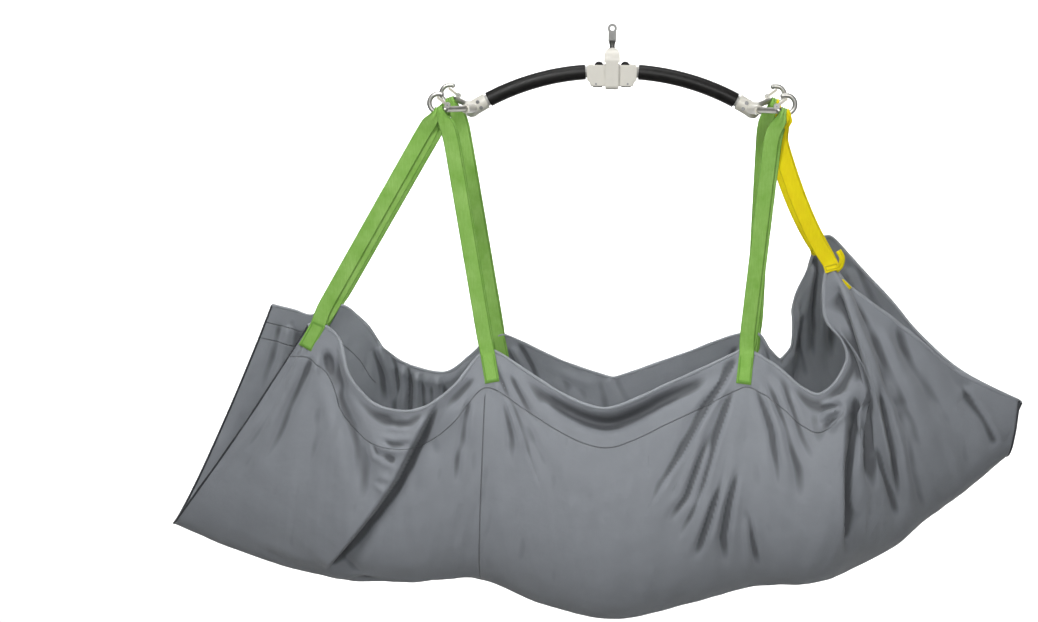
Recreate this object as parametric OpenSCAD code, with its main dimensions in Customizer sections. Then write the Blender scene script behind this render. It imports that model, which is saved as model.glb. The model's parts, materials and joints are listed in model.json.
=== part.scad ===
// Spreader bar with a full-length hammock sling, hanging in its loaded shape.
// Origin: centre of the lifting eye's bore. +X runs to the head end, -Y is the near side, +Z is up.

/* [Lifting eye] */
// Diameter of the hole in the lifting eye
eye_hole_d = 8.2; // [8.2:0.1:9]
// Outside width of the lifting eye
eye_w = 18; // [17:0.5:20]
// Thickness of the lifting eye along its hole
eye_t = 10; // [9:0.5:12]
// Diameter of the swivel shank
shank_d = 10; // [9:0.5:10]

/* [Yoke and hub] */
// Height of the pivot below the eye's centre
pivot_drop = 88; // [87:1:90]
// Diameter of the pivot pin
pivot_d = 12; // [10:1:13]
// Width of the yoke's crown
crown_w = 30; // [29:1:32]
// Width of the yoke's band
band_w = 25; // [22:1:26]
// Length of the hub housing along the bar
hub_l = 94; // [92:1:98]
// Depth of the hub housing from front to back
hub_t = 44; // [42:1:44]
// Height of the hub housing
hub_h = 40; // [38:1:40]
// Wall of the hub housing
hub_wall = 3; // [2:0.5:3.5]

/* [Arms] */
// Radius of each arm's bend, measured at the tube's centre
arm_r = 467; // [460:1:470]
// Angle that each arm turns through from the hub to the end of its grip
arm_turn = 28; // [27:0.5:28.5]
// Outside diameter of the arm tube
tube_d = 22; // [20:1:22]
// Wall of the arm tube
tube_wall = 2.5; // [2:0.5:3]
// Outside diameter of the foam grips
grip_d = 29; // [27:1:30]

/* [Hooks] */
// Distance from the hub's centre to each hook ring along the bar
hook_x = 320; // [318:1:322]
// Distance from the bar's centre plane to each hook ring
hook_y = 120; // [115:1:125]
// Height of the hook rings below the eye's centre
hook_drop = 133; // [131:1:135]
// Radius of the hook ring at the wire's centre
ring_r = 17; // [17:0.5:18]
// Diameter of the hook ring's wire
wire_d = 9; // [8:0.5:9]
// Diameter of the prongs that carry the rings
prong_d = 11; // [10:0.5:11]

/* [Straps] */
// Width of the strap webbing
strap_w = 28; // [24:1:30]
// Thickness of the strap, two layers of webbing
strap_t = 3; // [2.5:0.5:4]
// Width of a strap where it is gathered in its hook
loop_w = 7; // [6:0.5:7]

/* [Sling] */
// Thickness of the sling's cloth and padding
cloth_t = 3; // [2.5:0.5:4]
// Diameter of the bound edge
edge_d = 8; // [7:0.5:9]
// Half of the gap between the near and far edges where the straps hold them
edge_y = 120; // [118:1:122]

/* [Hidden] */
$fn = 64;
sides = [-1, 1];

pivot_z = -pivot_drop;
hub_top = pivot_z + hub_h / 2;
hub_bottom = pivot_z - hub_h / 2;
arm_start_x = 17;
arm_z = -81;
arm_centre_z = arm_z - arm_r;
tube_end_turn = arm_turn + 3.6;
clamp_d = 30;
clamp_turn = [arm_turn + 0.4, arm_turn + 4.4];
screw_d = 4;
screw_head_d = 7;
fork_screw_turn = arm_turn + 2.2;
fork_screw_step = 6.5;

yoke_top = -36;
yoke_bottom = -114;
yoke_inner_y = hub_t / 2 + 0.6;
yoke_outer_y = yoke_inner_y + 6.4;
crown_under = -64;
nut_pocket_top = -56;
window_bottom = hub_bottom - 3;

running = 0.05;
snug = 0.02;

prong_angle = 222;
knuckle_angle = 192;
tip_angle = 110;
gate_tip_angle = 85;
gate_tip_r = 9.9;
gate_t = 4.8;
gate_w = 9;
gate_pin_d = 2.4;
knuckle_d = 10.4;
ear_out = 5.6;
ear_in = 3.6;
eye_half = 1.7;
inner_loop = -8;
outer_loop = 36;
loop_r = wire_d / 2 + 0.7;
loop_t = 2;
loop_merge = 60;

function on_ring(angle, r = ring_r) = [r * cos(angle), r * sin(angle)];
knuckle = on_ring(knuckle_angle);
gate_tip = on_ring(gate_tip_angle, gate_tip_r);
gate_dir = atan2(gate_tip[1] - knuckle[1], gate_tip[0] - knuckle[0]);
gate_len = norm(gate_tip - knuckle);

// The sling's rim runs through these points: foot end, foot strap, thigh strap, hip strap,
// head strap, head end. Each row is [x, y, z].
near_anchor = [
    [-580, -edge_y, -548], [-562, -edge_y, -541], [-231, -edge_y, -605],
    [259, -edge_y, -588], [417, -edge_y, -425], [770, -40, -705]
];
far_anchor = [
    [-690, edge_y + 10, -566], [-562, edge_y, -556], [-222, edge_y, -620],
    [286, edge_y, -592], [434, edge_y, -413], [812, 42, -726]
];
// Between two of those points the rim sags by [x, outward y, z], with a power that rounds the sag.
near_sag = [
    [[0, 0, 0], 2], [[0, 32, -140], 2.2], [[0, 38, -95], 2],
    [[52, 24, -166], 2.2], [[0, 10, -40], 2]
];
far_sag = [
    [[0, 0, 0], 2], [[-20, 22, -103], 2], [[-20, 30, -104], 1.3],
    [[-8, 12, -152], 2.2], [[0, 10, -45], 2]
];
// Lowest line of the sling as [x, z] and half of its belly's width as [x, half width].
keel_x = [-870, -743, -249, 283, 557, 772];
keel = [
    [-870, -985], [-743, -1035], [-560, -1082], [-400, -1093], [-249, -1084], [-130, -1128],
    [16, -1155], [165, -1122], [283, -1091], [431, -1077], [557, -1018], [613, -961],
    [685, -898], [772, -822]
];
belly = [
    [-870, 90], [-743, 130], [-560, 172], [-249, 190], [16, 222],
    [283, 230], [431, 222], [557, 186], [685, 115], [772, 52]
];
panel_steps = 10;
half_steps = 12;

// ---------- helpers ----------

// A cylinder along Y between two heights of y
module bar_y(d, from, to) {
    translate([0, to, 0]) rotate([90, 0, 0]) cylinder(d = d, h = to - from);
}

// A cylinder from one point to another
module rod(from, to, d) {
    v = to - from;
    len = norm(v);
    turn = atan2(v[1], v[0]);
    lean = acos(v[2] / len);
    translate(from) rotate([0, lean, turn]) cylinder(d = d, h = len);
}

// A flat blank in the XZ plane, centred on y = 0
module plate_y(t) {
    rotate([90, 0, 0]) translate([0, 0, -t / 2]) linear_extrude(t) children();
}

module rounded_rect(w, h, r) {
    union() {
        square([w - 2 * r, h], center = true);
        square([w, h - 2 * r], center = true);
        for (x = sides, y = sides) {
            translate([x * (w / 2 - r), y * (h / 2 - r)]) circle(r);
        }
    }
}

// ---------- lifting eye and swivel ----------

module swivel_eye() {
    blade_w = 15;
    blade_low = -25;
    neck_z = -31;
    shank_low = -63.6;
    color("silver") difference() {
        union() {
            bar_y(eye_w, -eye_t / 2, eye_t / 2);
            translate([-blade_w / 2, -eye_t / 2, blade_low]) cube([blade_w, eye_t, -blade_low]);
            translate([0, 0, neck_z]) cylinder(d1 = shank_d, d2 = blade_w, h = blade_low - neck_z + 3);
            translate([0, 0, shank_low]) cylinder(d = shank_d, h = neck_z - shank_low + 1);
        }
        bar_y(eye_hole_d, -eye_t, eye_t);
        for (y = sides) {
            translate([-2.5, y * (eye_t / 2 - 1.5) - (y < 0 ? 3 : 0), blade_low + 3]) cube([5, 3, 11]);
        }
    }
}

module swivel_nut() {
    nut_low = -63.4;
    color("silver") difference() {
        translate([0, 0, nut_low]) cylinder(d = 18.4, h = 5, $fn = 6);
        translate([0, 0, nut_low - 1]) cylinder(d = shank_d + snug * 2, h = 8);
    }
}

module thrust_washer() {
    color("goldenrod") difference() {
        translate([0, 0, nut_pocket_top - 2.1]) cylinder(d = 22, h = 2.1);
        translate([0, 0, nut_pocket_top - 4]) cylinder(d = shank_d + running * 2, h = 8);
    }
}

module swivel_bush() {
    bush_top = -40;
    color("goldenrod") difference() {
        translate([0, 0, nut_pocket_top]) cylinder(d = shank_d + 4, h = bush_top - nut_pocket_top);
        translate([0, 0, nut_pocket_top - 1]) cylinder(d = shank_d + running * 2, h = 20);
    }
}

// ---------- yoke ----------

module yoke_front_view() {
    crown_r = crown_w / 2;
    shoulder = -62;
    translate([0, yoke_top - crown_r]) circle(crown_r);
    translate([-crown_r, shoulder]) square([crown_w, yoke_top - crown_r - shoulder]);
    translate([-band_w / 2, yoke_bottom + 3]) square([band_w, shoulder - yoke_bottom]);
    translate([-band_w / 2 + 3, yoke_bottom]) square([band_w - 6, 6]);
    for (x = sides) {
        translate([x * (band_w / 2 - 3), yoke_bottom + 3]) circle(3);
    }
}

module yoke_side_view() {
    high_r = 24;
    low_r = 8;
    translate([-yoke_outer_y, yoke_bottom + low_r]) {
        square([yoke_outer_y * 2, yoke_top - high_r - yoke_bottom - low_r]);
    }
    translate([-yoke_outer_y + high_r, yoke_top - high_r]) square([(yoke_outer_y - high_r) * 2, high_r]);
    translate([-yoke_outer_y + low_r, yoke_bottom]) square([(yoke_outer_y - low_r) * 2, low_r]);
    for (y = sides) {
        translate([y * (yoke_outer_y - high_r), yoke_top - high_r]) circle(high_r);
        translate([y * (yoke_outer_y - low_r), yoke_bottom + low_r]) circle(low_r);
    }
}

module hanger_yoke() {
    bush_bore_top = -40;
    blind = yoke_outer_y - 2;
    color("linen") difference() {
        intersection() {
            plate_y(yoke_outer_y * 2 + 2) yoke_front_view();
            rotate([90, 0, 90]) translate([0, 0, -crown_w]) linear_extrude(crown_w * 2) yoke_side_view();
        }
        translate([-crown_w, -yoke_inner_y, window_bottom]) {
            cube([crown_w * 2, yoke_inner_y * 2, crown_under - window_bottom]);
        }
        translate([0, 0, crown_under - 1]) cylinder(d = 26, h = nut_pocket_top - crown_under + 1);
        translate([0, 0, crown_under]) cylinder(d = shank_d + 4 + snug * 2, h = bush_bore_top - crown_under);
        translate([0, 0, crown_under]) cylinder(d = shank_d + 0.6, h = 40);
        translate([0, 0, pivot_z]) bar_y(pivot_d + snug * 2, -blind, yoke_outer_y + 5);
    }
}

module pivot_pin() {
    color("silver") translate([0, 0, pivot_z]) bar_y(pivot_d, -yoke_outer_y + 2.2, yoke_outer_y);
}

module pivot_retainer() {
    color("silver") translate([0, 0, pivot_z]) {
        bar_y(18, yoke_outer_y, yoke_outer_y + 1.6);
        bar_y(9, yoke_outer_y + 1.5, yoke_outer_y + 3.6);
    }
}

// ---------- hub ----------

block_l = 76;
block_t = 28;
block_h = 30;
socket_start = 16;
bush_d = 16;
shell_screw_x = 30;
shell_screw_z = -15.3;

module hub_block() {
    color("gray") difference() {
        translate([-block_l / 2, -block_t / 2, pivot_z - block_h / 2 + 2]) cube([block_l, block_t, block_h]);
        translate([0, 0, pivot_z]) bar_y(bush_d + snug * 2, -block_t, block_t);
        for (x = sides) {
            translate([x > 0 ? socket_start : -socket_start - block_l, 0, arm_z - 0.2]) {
                rotate([0, 90, 0]) cylinder(d = tube_d + 1, h = block_l);
            }
        }
    }
}

// Outline of the housing from the front, with cut lower corners
module hub_outline(inset) {
    l = hub_l / 2 - inset;
    top = hub_top - inset;
    low = hub_bottom + inset;
    cut = 7;
    polygon([
        [-l + 3, top], [l - 3, top], [l, top - 3], [l, low + cut + 5],
        [l - cut + 2, low + cut], [l - cut, low], [-l + cut, low], [-l + cut - 2, low + cut],
        [-l, low + cut + 5], [-l, top - 3]
    ]);
}

module hub_shell(side) {
    depth = hub_t / 2;
    step = 1.5;
    mirror([0, side > 0 ? 1 : 0, 0]) color("linen") difference() {
        union() {
            translate([0, -(depth - step) / 2, 0]) plate_y(depth - step) hub_outline(0);
            translate([0, -depth / 2, 0]) plate_y(depth) hub_outline(step);
        }
        translate([0, -(depth - hub_wall) / 2 + 1, 0]) plate_y(depth - hub_wall + 2) hub_outline(hub_wall);
        translate([0, 0, pivot_z]) bar_y(bush_d + 0.6, -depth - 1, 1);
        translate([-hub_l, 0, arm_z - 0.5]) rotate([0, 90, 0]) cylinder(d = tube_d + 2.2, h = hub_l * 2);
        for (x = sides) {
            translate([x * shell_screw_x, 0, pivot_z + shell_screw_z]) {
                bar_y(screw_d + snug * 2, -depth - 1, 1);
            }
        }
    }
}

module hub_screws() {
    screw_z = pivot_z + shell_screw_z;
    color("silver") for (x = sides) {
        translate([x * shell_screw_x, 0, screw_z]) {
            bar_y(screw_d, -hub_t / 2 + 0.5, hub_t / 2);
            bar_y(screw_head_d, hub_t / 2, hub_t / 2 + 2);
        }
    }
}

module pivot_bush(side) {
    color("goldenrod") mirror([0, side > 0 ? 0 : 1, 0]) translate([0, 0, pivot_z]) difference() {
        bar_y(bush_d, 1, yoke_inner_y - 0.3);
        bar_y(pivot_d + running * 2, -1, yoke_inner_y + 1);
    }
}

// A lens-shaped rubber pad on top of the hub, beside the yoke
module tilt_buffer(side) {
    pad_x = 25;
    pad_half = 8;
    pad_h = 5.5;
    lens_r = (pad_half * pad_half + pad_h * pad_h) / (2 * pad_h);
    color("black") translate([side * pad_x, 0, hub_top]) intersection() {
        translate([0, 0, pad_h - lens_r]) bar_y(lens_r * 2, -13, 13);
        translate([-pad_half, -13, 0]) cube([pad_half * 2, 26, pad_h + 1]);
    }
}

// Two rubber pads under the hub, clear of the yoke's lower bar
module hub_base_seal() {
    seal_start = 18;
    color("black") for (x = sides) {
        mirror([x > 0 ? 0 : 1, 0, 0]) translate([seal_start, -18, hub_bottom - 2]) cube([18, 36, 2]);
    }
}

// ---------- arms ----------

// Part of the bent arm between two angles, hollow when bore is above zero
module arm_arc(d, bore, from, to) {
    translate([arm_start_x, 0, arm_centre_z]) rotate([90, 0, 0]) rotate([0, 0, 90 - to]) {
        rotate_extrude(angle = to - from, $fn = 360) translate([arm_r, 0]) difference() {
            circle(d = d, $fn = 48);
            circle(d = bore, $fn = 48);
        }
    }
}

// Places its children on the arm's centre line at an angle along it, with +X along the tube
module on_arm(angle) {
    translate([arm_start_x, 0, arm_centre_z]) rotate([0, angle, 0]) translate([0, 0, arm_r]) children();
}

module fork_screw_holes(d, from, to) {
    on_arm(fork_screw_turn) for (z = sides) {
        translate([0, 0, z * fork_screw_step]) bar_y(d, from, to);
    }
}

module arm_tube(side) {
    mirror([side > 0 ? 0 : 1, 0, 0]) color("gray") difference() {
        arm_arc(tube_d, tube_d - 2 * tube_wall, 0, tube_end_turn);
        fork_screw_holes(screw_d + snug * 2, -tube_d, 0);
    }
}

module grip(side) {
    grip_start = 4.1;
    mirror([side > 0 ? 0 : 1, 0, 0]) color("black") {
        arm_arc(grip_d, tube_d + 0.1, grip_start, arm_turn - 0.2);
    }
}

// ---------- forks, hooks and gates ----------

prong_root = [264, 12, -151];
ring_centre = [hook_x, hook_y, -hook_drop];
prong_end = ring_centre + [on_ring(prong_angle)[0], 0, on_ring(prong_angle)[1]];
prong_dir = (prong_end - prong_root) / norm(prong_end - prong_root);

module fork(side) {
    boss_d = 18;
    boss_l = 34;
    mirror([side > 0 ? 0 : 1, 0, 0]) color("linen") difference() {
        union() {
            arm_arc(clamp_d, 0, clamp_turn[0], clamp_turn[1]);
            on_arm(clamp_turn[1]) sphere(d = clamp_d + 1);
            for (y = sides) {
                mirror([0, y > 0 ? 0 : 1, 0]) rod(prong_root, prong_root + prong_dir * boss_l, boss_d);
            }
        }
        arm_arc(tube_d + snug * 2, 0, arm_turn, tube_end_turn + 0.1);
        for (y = sides) {
            mirror([0, y > 0 ? 0 : 1, 0]) {
                rod(prong_root + prong_dir * 10, prong_root + prong_dir * (boss_l + 2), prong_d + snug * 2);
            }
        }
        fork_screw_holes(screw_d + snug * 2, -clamp_d, 0);
        fork_screw_holes(screw_head_d + 0.4, -clamp_d, -clamp_d / 2 + 2);
    }
}

module fork_screws(side) {
    mirror([side > 0 ? 0 : 1, 0, 0]) color("silver") {
        fork_screw_holes(screw_d, -clamp_d / 2 + 1, -tube_d / 2 + tube_wall + 1);
        fork_screw_holes(screw_head_d, -clamp_d / 2 - 0.6, -clamp_d / 2 + 2);
    }
}

// Places its children at one hook, with the ring's centre at the origin, +X outward from the hub
// and +Y away from the bar's centre plane
module at_hook(x, y) {
    mirror([x > 0 ? 0 : 1, 0, 0]) mirror([0, y > 0 ? 0 : 1, 0]) translate(ring_centre) children();
}

module hook(x, y) {
    root = prong_root + prong_dir * 10.2 - ring_centre;
    join = prong_end - ring_centre;
    arc = 360 + tip_angle - knuckle_angle;
    at_hook(x, y) color("gainsboro") difference() {
        union() {
            rotate([90, 0, 0]) rotate([0, 0, knuckle_angle]) {
                rotate_extrude(angle = arc, $fn = 72) translate([ring_r, 0]) circle(d = wire_d, $fn = 32);
            }
            translate([on_ring(tip_angle)[0], 0, on_ring(tip_angle)[1]]) sphere(d = wire_d + 0.8);
            translate([knuckle[0], 0, knuckle[1]]) bar_y(knuckle_d, -ear_out, ear_out);
            rod(root, join, prong_d);
            translate(join) sphere(d = prong_d + 1.2);
        }
        translate([knuckle[0], 0, knuckle[1]]) {
            bar_y(knuckle_d - 1, -ear_in, ear_in);
            bar_y(gate_pin_d + snug * 2, -ear_out - 1, ear_out + 1);
            rotate([0, -gate_dir, 0]) translate([0, -ear_in, -4]) cube([12, ear_in * 2, 8]);
        }
    }
}

module gate(x, y) {
    at_hook(x, y) color("linen") translate([knuckle[0], 0, knuckle[1]]) rotate([0, -gate_dir, 0]) {
        difference() {
            union() {
                bar_y(7.2, -eye_half, eye_half);
                translate([0, -eye_half, -gate_t / 2]) cube([8, eye_half * 2, gate_t]);
                translate([7, -gate_w / 2, -gate_t / 2]) cube([gate_len - 7, gate_w, gate_t]);
                translate([gate_len, 0, 0]) bar_y(gate_t, -gate_w / 2, gate_w / 2);
            }
            bar_y(gate_pin_d + running * 2, -eye_half - 1, eye_half + 1);
        }
    }
}

module gate_pin(x, y) {
    at_hook(x, y) color("gray") translate([knuckle[0], 0, knuckle[1]]) bar_y(gate_pin_d, -ear_out, ear_out);
}

// The gate's spring, drawn as the sleeve that its turns fill on each side of the gate
module gate_spring(x, y) {
    at_hook(x, y) color("gray") translate([knuckle[0], 0, knuckle[1]]) for (s = sides) {
        mirror([0, s > 0 ? 0 : 1, 0]) difference() {
            bar_y(5.4, eye_half + 0.2, ear_in - 0.2);
            bar_y(gate_pin_d + 0.2, 0, ear_in);
        }
    }
}

// ---------- sling surface ----------

function mix(a, b, t) = a + (b - a) * t;

// Point on one rim at station s, from 0 at the foot end to 5 at the head end
function rim(anchor, sag, side, s) =
    let (i = min(floor(s), 4), t = s - i, dip = 1 - pow(abs(2 * t - 1), sag[i][1]), v = sag[i][0])
    mix(anchor[i], anchor[i + 1], t) + dip * [v[0], side * v[1], v[2]];

function rim_at(side, s) = side < 0 ? rim(near_anchor, near_sag, -1, s) : rim(far_anchor, far_sag, 1, s);

// Index of the interval of a table that holds x
function slot(table, x) = max([for (i = [0:len(table) - 2]) table[i][0] <= x ? i : 0]);

// Slope of the table at row i
function slope(table, i) =
    let (a = table[max(i - 1, 0)], b = table[min(i + 1, len(table) - 1)]) (b[1] - a[1]) / (b[0] - a[0]);

// Smooth curve through a table's rows
function through(table, x) =
    let (i = slot(table, x), a = table[i], b = table[i + 1], w = b[0] - a[0], t = (x - a[0]) / w)
    a[1] * (2 * t * t * t - 3 * t * t + 1) + b[1] * (3 * t * t - 2 * t * t * t)
    + w * slope(table, i) * (t * t * t - 2 * t * t + t) + w * slope(table, i + 1) * (t * t * t - t * t);

function keel_x_at(s) = let (i = min(floor(s), 4)) mix(keel_x[i], keel_x[i + 1], s - i);

function bezier(a, b, c, d, t) =
    a * pow(1 - t, 3) + b * 3 * t * pow(1 - t, 2) + c * 3 * t * t * (1 - t) + d * pow(t, 3);

// Point of the sling at station s, with v from -1 at the near rim through 0 at the keel to 1 at
// the far rim. inset moves it into the sling by the cloth's thickness.
function cloth(s, v, inset) =
    let (side = v < 0 ? -1 : 1, x = keel_x_at(s), low = [x, 0, through(keel, x) + inset],
         r = rim_at(side, s), top = [r[0], r[1] - side * inset, r[2]],
         half = through(belly, x) - inset)
    bezier(low, low + [0, side * half * 1.02, 0],
           [mix(low[0], top[0], 0.5), side * half * 1.12, mix(low[2], top[2], 0.45)], top, abs(v));

// A closed shell of the sling between two stations
module sling_panel(from, to, steps) {
    rows = steps + 1;
    cols = 2 * half_steps + 1;
    size = rows * cols;
    station = [for (i = [0:steps]) mix(from, to, i / steps)];
    skin = [for (inset = [0, cloth_t], s = station, j = [0:cols - 1]) cloth(s, j / half_steps - 1, inset)];
    flat_faces = [
        for (i = [0:steps - 1], j = [0:cols - 2]) let (a = i * cols + j, b = a + cols)
            each [[a, a + 1, b + 1], [a, b + 1, b], [size + a, size + b + 1, size + a + 1],
                  [size + a, size + b, size + b + 1]]
    ];
    rim_faces = [
        for (i = [0:steps - 1]) let (a = i * cols, b = a + cols, c = a + cols - 1, d = c + cols)
            each [[a, b, size + b], [a, size + b, size + a], [c, size + d, d], [c, size + c, size + d]]
    ];
    end_faces = [
        for (j = [0:cols - 2]) let (a = j, b = steps * cols + j)
            each [[a, size + a + 1, a + 1], [a, size + a, size + a + 1],
                  [b, b + 1, size + b + 1], [b, size + b + 1, size + b]]
    ];
    color("slategray") polyhedron(skin, concat(flat_faces, rim_faces, end_faces));
}

// A closed solid through rings of points. Each ring runs anticlockwise as seen from the next one.
module through_rings(rings) {
    n = len(rings[0]);
    last = (len(rings) - 1) * n;
    wall = [
        for (i = [0:len(rings) - 2], k = [0:n - 1])
            let (a = i * n + k, b = i * n + (k + 1) % n, c = a + n, d = b + n) each [[a, d, b], [a, c, d]]
    ];
    first_cap = [for (k = [0:n - 1]) k];
    last_cap = [for (k = [n - 1:-1:0]) last + k];
    polyhedron([for (ring = rings) each ring], concat(wall, [first_cap, last_cap]));
}

// The bound edge: a round cord swept along one rim
module edge_binding(side) {
    steps = 44;
    around = 8;
    line = [for (i = [0:steps]) rim_at(side, i * 5 / steps) + [0, -side * cloth_t / 2, 0]];
    color("silver") through_rings([
        for (i = [0:steps]) let (
            ahead = line[min(i + 1, steps)] - line[max(i - 1, 0)],
            along = ahead / norm(ahead),
            across = cross(along, [0, 1, 0]),
            up = across / norm(across),
            out = cross(along, up)
        ) [for (k = [0:around - 1]) line[i] + edge_d / 2 * (cos(k * 360 / around) * up + sin(k * 360 / around) * out)]
    ]);
}

// ---------- straps ----------

// Four corners of a strap's cross-section: w across at the lean angle in the XZ plane, t towards thick
function strap_ring(at, lean, w, thick, t) =
    let (across = [cos(lean), 0, -sin(lean)] * w / 2, deep = thick * t / 2)
    [at - across - deep, at + across - deep, at + across + deep, at - across + deep];

// One strap: it starts behind the band, goes over the hook's wire in a gathered loop, comes down
// as the band and ends in the part sewn to the sling
module strap(x, y, loop_angle, s, tab_v) {
    wire = [x * (hook_x + ring_r * sin(loop_angle)), y * hook_y, -hook_drop - ring_r * cos(loop_angle)];
    edge = rim_at(y, s) + [0, -y * cloth_t / 2, 0];
    tail = cloth(s, y * tab_v, cloth_t / 2);
    dir = (edge - wire) / norm(edge - wire);
    lean = atan2(-dir[0], -dir[2]);
    loop_lean = -x * loop_angle;
    merge = wire + dir * loop_merge;
    loop_steps = 8;
    loop_mid = loop_r + loop_t / 2;
    tab_t = cloth_t + 4;
    front = [0, -1, 0];
    start = merge - dir * 4 + [0, strap_t / 2 + 1.1, 0];
    color(s == 4 ? "gold" : "yellowgreen") through_rings([
        strap_ring(start, lean, strap_w, -front, strap_t / 2),
        for (i = [0:loop_steps]) let (
            turn = 180 * i / loop_steps,
            out = [sin(loop_lean) * sin(turn), cos(turn), cos(loop_lean) * sin(turn)]
        ) strap_ring(wire + out * loop_mid, loop_lean, loop_w, out, loop_t),
        strap_ring(merge, lean, strap_w, front, strap_t),
        strap_ring(edge - dir * 8, lean, strap_w, front, strap_t),
        strap_ring(edge, lean, strap_w, front, tab_t),
        strap_ring(tail, lean, strap_w, front, tab_t)
    ]);
}

module foot_strap(y) {
    strap(-1, y, outer_loop, 1, 0.87);
}

module thigh_strap(y) {
    strap(-1, y, inner_loop, 2, 0.87);
}

module hip_strap(y) {
    strap(1, y, inner_loop, 3, 0.87);
}

module head_strap(y) {
    strap(1, y, outer_loop, 4, 0.9);
}

// ---------- nodes ----------

swivel_eye();
swivel_nut();
thrust_washer();
swivel_bush();
hanger_yoke();
pivot_pin();
pivot_retainer();
hub_block();
hub_shell(-1);  // hub_shell_front
hub_shell(1);  // hub_shell_rear
hub_screws();
pivot_bush(-1);  // pivot_bush_front
pivot_bush(1);  // pivot_bush_rear
tilt_buffer(-1);  // tilt_buffer_left
tilt_buffer(1);  // tilt_buffer_right
hub_base_seal();
arm_tube(-1);  // arm_tube_left
arm_tube(1);  // arm_tube_right
grip(-1);  // grip_left
grip(1);  // grip_right
fork(-1);  // fork_left
fork(1);  // fork_right
fork_screws(-1);  // fork_screws_left
fork_screws(1);  // fork_screws_right
hook(-1, -1);  // hook_left_near
hook(-1, 1);  // hook_left_far
hook(1, -1);  // hook_right_near
hook(1, 1);  // hook_right_far
gate(-1, -1);  // gate_left_near
gate(-1, 1);  // gate_left_far
gate(1, -1);  // gate_right_near
gate(1, 1);  // gate_right_far
gate_pin(-1, -1);  // gate_pin_left_near
gate_pin(-1, 1);  // gate_pin_left_far
gate_pin(1, -1);  // gate_pin_right_near
gate_pin(1, 1);  // gate_pin_right_far
gate_spring(-1, -1);  // gate_spring_left_near
gate_spring(-1, 1);  // gate_spring_left_far
gate_spring(1, -1);  // gate_spring_right_near
gate_spring(1, 1);  // gate_spring_right_far
foot_strap(-1);  // strap_foot_near
foot_strap(1);  // strap_foot_far
thigh_strap(-1);  // strap_thigh_near
thigh_strap(1);  // strap_thigh_far
hip_strap(-1);  // strap_hip_near
hip_strap(1);  // strap_hip_far
head_strap(-1);  // strap_head_near
head_strap(1);  // strap_head_far
sling_panel(0, 2, panel_steps + 2);  // sling_leg_panel
sling_panel(2, 3, panel_steps);  // sling_seat_panel
sling_panel(3, 4, panel_steps);  // sling_back_panel
sling_panel(4, 5, panel_steps);  // sling_head_panel
edge_binding(-1);  // edge_binding_near
edge_binding(1);  // edge_binding_far
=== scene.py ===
"""Looks of the spreader bar and its hammock sling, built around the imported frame."""

import json
import math

import bpy
import numpy as np
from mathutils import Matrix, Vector
from mathutils.bvhtree import BVHTree


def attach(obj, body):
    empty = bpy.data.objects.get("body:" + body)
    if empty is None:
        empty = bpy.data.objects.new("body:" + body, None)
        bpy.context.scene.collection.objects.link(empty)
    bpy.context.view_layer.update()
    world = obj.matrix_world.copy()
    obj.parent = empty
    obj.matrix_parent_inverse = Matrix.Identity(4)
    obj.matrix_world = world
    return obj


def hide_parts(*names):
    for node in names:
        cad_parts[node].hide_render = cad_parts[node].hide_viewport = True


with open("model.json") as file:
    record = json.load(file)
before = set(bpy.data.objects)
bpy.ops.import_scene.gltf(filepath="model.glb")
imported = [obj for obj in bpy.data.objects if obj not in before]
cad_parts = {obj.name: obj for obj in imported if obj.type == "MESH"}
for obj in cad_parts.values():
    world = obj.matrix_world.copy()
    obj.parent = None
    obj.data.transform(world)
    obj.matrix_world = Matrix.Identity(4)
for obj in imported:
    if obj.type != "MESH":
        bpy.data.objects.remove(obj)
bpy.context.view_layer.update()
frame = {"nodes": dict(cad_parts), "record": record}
nodes = frame["nodes"]

MM = 0.001


# ---------- shader helpers ----------


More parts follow.
